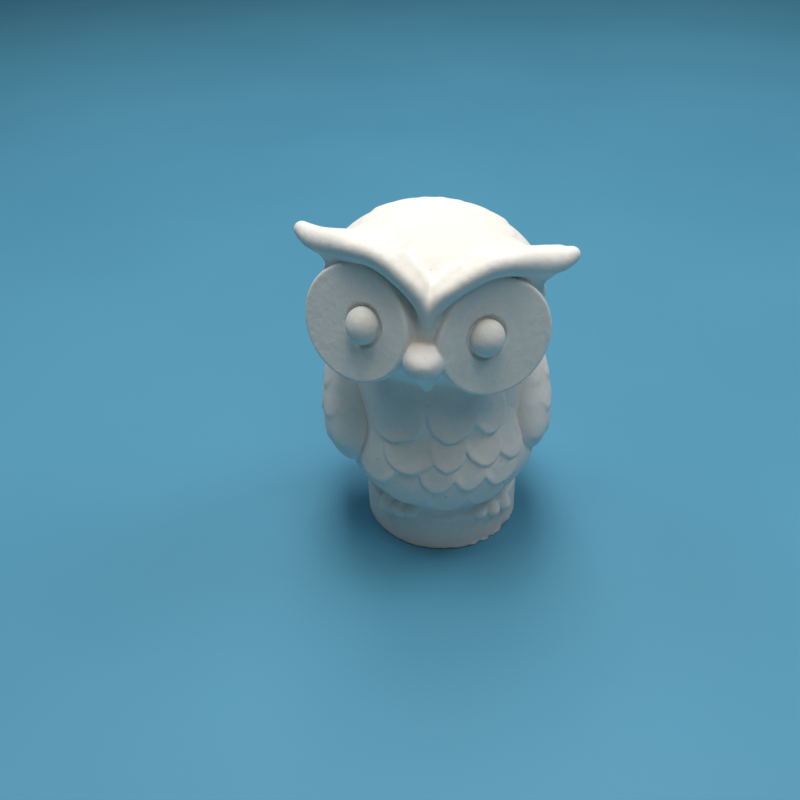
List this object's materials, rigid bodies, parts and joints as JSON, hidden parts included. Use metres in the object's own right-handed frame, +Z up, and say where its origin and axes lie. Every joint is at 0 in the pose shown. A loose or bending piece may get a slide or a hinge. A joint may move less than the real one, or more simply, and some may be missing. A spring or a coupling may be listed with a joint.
{
  "type": "owl figurine",
  "caption": "Small standing owl cast in matte white plaster: round plinth, feathered breast, folded wings, big flat eye discs, ear-tufted brows and a turned head.",
  "frame": {"origin": "centre of the plinth's flat underside, on the surface that the owl stands on", "axes": "+Z up; -Y is the way the plinth, feet and belly face; +X is on the right of a person who looks at the owl's face; the head itself is turned 8 degrees towards -X"},
  "size_m": [0.0718, 0.067, 0.1023],
  "materials": {
    "plaster": "unglazed cast gypsum, dead matte warm white, with fine pores"
  },
  "bodies": {
    "root": {"base_plinth": "plaster", "beak": "plaster", "breast_feather_01": "plaster", "breast_feather_02": "plaster", "breast_feather_03": "plaster", "breast_feather_04": "plaster", "breast_feather_05": "plaster", "breast_feather_06": "plaster", "breast_feather_07": "plaster", "breast_feather_08": "plaster", "breast_feather_09": "plaster", "breast_feather_10": "plaster", "breast_feather_11": "plaster", "breast_feather_12": "plaster", "breast_feather_13": "plaster", "breast_feather_14": "plaster", "brow_left": "plaster", "brow_right": "plaster", "eye_left": "plaster", "eye_right": "plaster", "face_disc_left": "plaster", "face_disc_right": "plaster", "head": "plaster", "nose_bridge": "plaster", "tail": "plaster", "toe_left_1": "plaster", "toe_left_2": "plaster", "toe_left_3": "plaster", "toe_right_1": "plaster", "toe_right_2": "plaster", "toe_right_3": "plaster", "torso": "plaster", "wing_left": "plaster", "wing_right": "plaster"}
  },
  "joints": []
}
